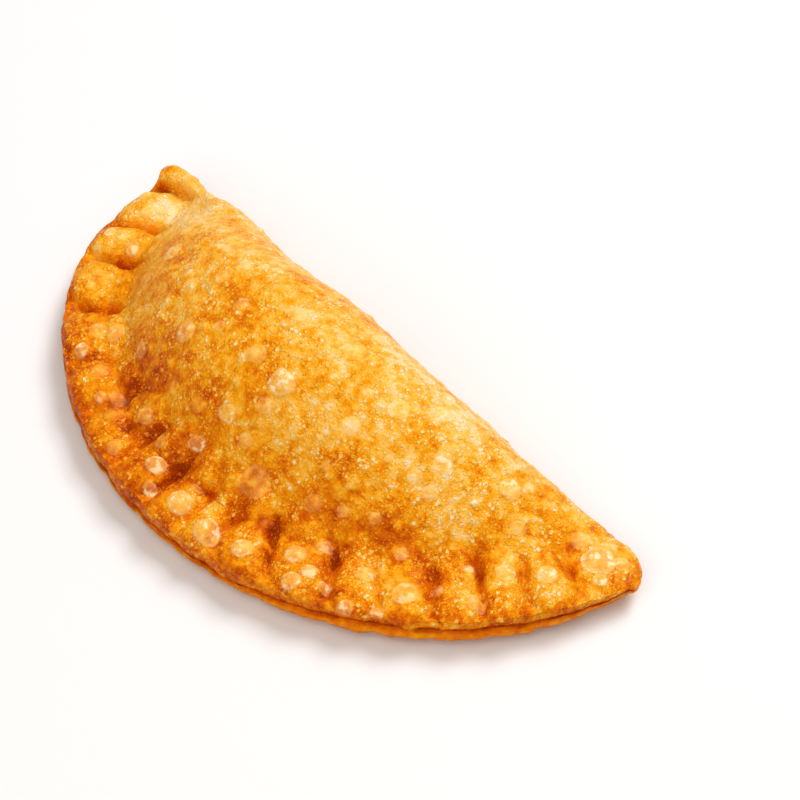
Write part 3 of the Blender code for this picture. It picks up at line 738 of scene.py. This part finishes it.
def crustMaterial():
    # the tone laid out on the surface is mottled, grained with bubbles and coloured by the ramp
    net = Nodes("friedCrust")
    finish = crustFinish
    where = net.add("ShaderNodeTexCoord").outputs["Object"]
    millimetres = net.add("ShaderNodeMapping", {"Vector": where, "Scale": (1000, 1000, 1000)}).outputs[0]
    blotches = net.noise(millimetres, finish["blotches"][0], 3.0)
    mottle = net.noise(millimetres, finish["mottle"][0], 3.0, 0.6)
    grit = net.noise(millimetres, finish["grit"][0], 2.0, 0.6)
    clusters = net.remap(net.noise(millimetres, finish["clusters"], 2.0), 0.38, 0.62, 0.25, 1.0)
    side = net.attribute("side")
    blister = net.attribute("blister")
    onBlister = net.remap(blister, 0.02, 0.25)
    # bubbles of two sizes with wandering outlines, each as full as its own random draw
    sockets = {"Vector": millimetres, "Scale": finish["wanderScale"], "Detail": 1.0}
    wander = net.add("ShaderNodeTexNoise", sockets).outputs["Color"]
    wander = net.vectors("SUBTRACT", {0: wander, 1: (0.5, 0.5, 0.5)})
    wander = net.vectors("SCALE", {0: wander, "Scale": finish["warp"]})
    warped = net.vectors("ADD", {0: millimetres, 1: wander})
    distance, draw = net.cells(warped, finish["grainSize"])
    chance = net.add("ShaderNodeSeparateColor", {0: draw}).outputs[0]
    size = net.remap(chance, 0.0, 1.0, 0.22, 0.62, smooth=False)
    grain = net.remap(net.maths("DIVIDE", distance, size), 0.45, 1.0, 1.0, 0.0)
    fineDistance, fineDraw = net.cells(warped, finish["fineSize"])
    fineChance = net.add("ShaderNodeSeparateColor", {0: fineDraw}).outputs[1]
    fine = net.remap(fineDistance, 0.20, 0.60, 1.0, 0.0)
    # raised tops and sunken gaps, both fainter on the side and on blisters
    smooth = net.maths("MAXIMUM", side, net.maths("MULTIPLY", onBlister, 0.75))
    crusty = net.maths("MULTIPLY", net.maths("SUBTRACT", 1.0, smooth, clamp=True), clusters)
    # bubble tops, painted paler in part as highlights
    tops = net.maths("MULTIPLY", grain, net.remap(chance, 0.30, 0.95))
    fineTops = net.maths("MULTIPLY", fine, net.remap(fineChance, 0.35, 0.95, 0.0, 0.8))
    raised = net.maths("MULTIPLY", net.maths("MAXIMUM", tops, fineTops), crusty)
    gaps = net.maths("SUBTRACT", 1.0, net.maths("MAXIMUM", grain, fine))
    gaps = net.maths("MULTIPLY", gaps, crusty)
    # tone: its layout, and what mottling and bubbles add to it
    tone = net.attribute("tone")
    lively = net.remap(net.attribute("calm"), 0.0, 1.0, 1.0, finish["calmed"], smooth=False)
    for value, middle, amount in (
        (blotches, 0.5, finish["blotches"][1]), (mottle, 0.5, finish["mottle"][1]),
        (grit, 0.5, finish["grit"][1]), (raised, 0.0, finish["raised"]), (gaps, 0.0, finish["gaps"]),
        (net.attribute("bubble"), 0.0, finish["bubbles"]),
    ):
        offset = net.maths("MULTIPLY", net.maths("SUBTRACT", value, middle), amount)
        tone = net.maths("ADD", tone, net.maths("MULTIPLY", offset, lively))
    # a darker line round each blister
    ring = net.maths("MULTIPLY", net.remap(blister, 0.0, 0.06), net.remap(blister, 0.06, 0.25, 1.0, 0.0))
    tone = net.maths("SUBTRACT", tone, net.maths("MULTIPLY", ring, finish["ring"]))
    # the side is smoother and streaked, and dark in the seam
    streaks = net.maths("ADD", finish["side"], net.maths("MULTIPLY", mottle, finish["streaks"]))
    tone = net.maths("MULTIPLY", tone, net.maths("SUBTRACT", 1.0, side))
    tone = net.maths("ADD", tone, net.maths("MULTIPLY", side, streaks))
    tone = net.maths("SUBTRACT", tone, net.maths("MULTIPLY", net.attribute("crack"), finish["seam"]))
    ramp = net.add("ShaderNodeValToRGB", {"Fac": tone})
    stops = ramp.color_ramp.elements
    for number, (place, colour) in enumerate(finish["ramp"]):
        stop = stops[number] if number < 2 else stops.new(place)
        stop.position = place
        stop.color = (*colour, 1.0)
    # blisters are milky in patches and round their edge, and the milkiest have near white painted highlights
    # in patches
    milk = net.attribute("milk")
    patches = net.noise(millimetres, finish["patches"], 2.0)
    edgeMilk = net.remap(blister, 0.20, 0.60, 0.80, 0.25)
    milky = net.maths("MAXIMUM", net.remap(patches, 0.35, 0.62, 0.25, 0.80), edgeMilk)
    colour = net.blend(net.maths("MULTIPLY", milk, milky), ramp.outputs[0], finish["blister"])
    paintedBlisterHighlight = net.maths("MULTIPLY", net.remap(milk, 0.25, 0.80), net.remap(patches, 0.52, 0.62, 0.0, 0.85))
    # painted glints on the bubble tops
    paintedGlintCaps = net.maths("MULTIPLY", net.maths("POWER", raised, 2.0), finish["paintedGlintCaps"])
    colour = net.blend(net.maths("MAXIMUM", paintedBlisterHighlight, paintedGlintCaps), colour, finish["paintedGlint"])
    net.tree.links.new(colour, net.shader.inputs["Base Color"])
    # height of the bubbles and of the grit, less where the crust is smooth
    height = net.maths("ADD", net.maths("MULTIPLY", grain, 0.9), net.maths("MULTIPLY", fine, 0.45))
    height = net.maths("ADD", height, net.maths("MULTIPLY", grit, 0.5))
    height = net.maths("MULTIPLY", height, net.remap(smooth, 0.0, 1.0, 1.0, 0.25))
    sockets = {"Height": height, "Strength": finish["reliefStrength"], "Distance": finish["relief"]}
    bump = net.add("ShaderNodeBump", sockets)
    net.tree.links.new(bump.outputs[0], net.shader.inputs["Normal"])
    rough = net.remap(grit, 0.3, 0.7, *finish["roughness"])
    rough = net.maths("SUBTRACT", rough, net.maths("MULTIPLY", onBlister, finish["blisterShine"]))
    net.tree.links.new(rough, net.shader.inputs["Roughness"])
    for name, value in finish["sockets"].items():
        net.shader.inputs[name].default_value = value
    return net.material


crustPiece.data.materials.append(crustMaterial())
print("crust finished")

# Camera and light
view = {
    "azimuth": 46.67,           # degrees round from looking along +y
    "elevation": 48.82,
    "distance": 0.5,
    "lens": 116.37,
    "sensor": 36.0,
    "sideways": 0.00081,
    "upwards": -0.00562,
    "formShift": 0.00045,       # the form's place under the camera, along the fold
}
lights = {
    # name: place, aim, width, watts, colour
    "key": ((-0.06, 0.61, 0.78), (0.0, 0.0, 0.01), 0.50, 7.5, (1.0, 0.99, 0.99)),
    "overhead": ((0.05, -0.10, 0.90), (0.0, 0.0, 0.0), 0.60, 1.0, (1.0, 0.96, 0.91)),
    "front": ((0.22, -0.49, 0.55), (0.0, 0.0, 0.0), 0.80, 3.2, (1.0, 0.92, 0.80)),
}
surroundings = {"Color": (1.0, 0.93, 0.85, 1.0), "Strength": 0.26}
floorFinish = {"Base Color": (0.86, 0.865, 0.90, 1.0), "Roughness": 0.9, "Specular IOR Level": 0.1}
floorSize = 6.0


def addCamera():
    # right, up and back of the view from its two angles, and the place that far back from the turnover
    turn, lift = math.radians(view["azimuth"]), math.radians(view["elevation"])
    right = np.array([math.cos(turn), math.sin(turn), 0.0])
    back = np.array([math.sin(turn) * math.cos(lift), -math.cos(turn) * math.cos(lift), math.sin(lift)])
    up = np.cross(back, right)
    place = view["sideways"] * right + view["upwards"] * up + view["distance"] * back
    place -= np.array([view["formShift"], 0.0, 0.0]) + formMiddle
    data = bpy.data.cameras.new("camera")
    data.lens = view["lens"]
    data.sensor_width = view["sensor"]
    data.clip_start = 0.01
    camera = bpy.data.objects.new("camera", data)
    bpy.context.collection.objects.link(camera)
    camera.matrix_world = Matrix([[right[i], up[i], back[i], place[i]] for i in range(3)] + [[0, 0, 0, 1]])
    bpy.context.scene.camera = camera


def addLights():
    # soft square lamps, each turned to its aim, in even surroundings
    for name, (place, aim, width, watts, colour) in lights.items():
        data = bpy.data.lights.new(name, "AREA")
        data.energy = watts
        data.color = colour
        data.size = width
        lamp = bpy.data.objects.new(name, data)
        bpy.context.collection.objects.link(lamp)
        lamp.location = place
        lamp.rotation_euler = (Vector(aim) - Vector(place)).to_track_quat("-Z", "Y").to_euler()
    world = bpy.data.worlds.new("studio")
    bpy.context.scene.world = world
    world.use_nodes = True
    for name, value in surroundings.items():
        world.node_tree.nodes["Background"].inputs[name].default_value = value


def addFloor():
    # a pale dull plane under the turnover
    bpy.ops.mesh.primitive_plane_add(size=floorSize, location=(0, 0, 0))
    floor = bpy.context.object
    floor.name = "floor"
    net = Nodes("paleFloor")
    for name, value in floorFinish.items():
        net.shader.inputs[name].default_value = value
    floor.data.materials.append(net.material)


addCamera()
addLights()
addFloor()
bpy.context.scene.view_settings.view_transform = "Standard"
print("camera, lights and floor placed")
